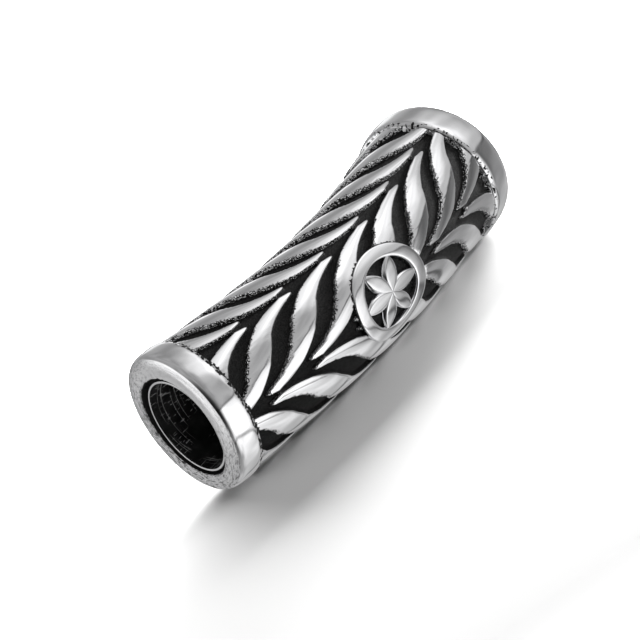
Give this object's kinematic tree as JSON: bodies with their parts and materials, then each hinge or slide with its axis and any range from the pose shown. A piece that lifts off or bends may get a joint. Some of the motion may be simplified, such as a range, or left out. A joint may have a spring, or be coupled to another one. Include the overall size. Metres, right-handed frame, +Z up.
{
  "type": "large-hole hair bead",
  "caption": "Gently curved metal tube bead with plain collars, raised leaf relief and a round badge, worn on a lock of hair, a braid, a beard or a cord.",
  "frame": {"origin": "middle of the bounding box at the surface that the bead lies on", "axes": "+X along the bead from the mouth seen in the picture to the far one, +Z up, +Y toward the hollow side of its curve"},
  "size_m": [0.0376, 0.014, 0.0123],
  "materials": {
    "shell_steel": "polished collars and leaf tops over a blackened, grainy sunk ground",
    "sleeve_steel": "drawn, with lengthwise scratches, darkened inside and bright at its two rims"
  },
  "bodies": {
    "root": {"bead_shell": "shell_steel", "inner_sleeve": "sleeve_steel"}
  },
  "joints": []
}
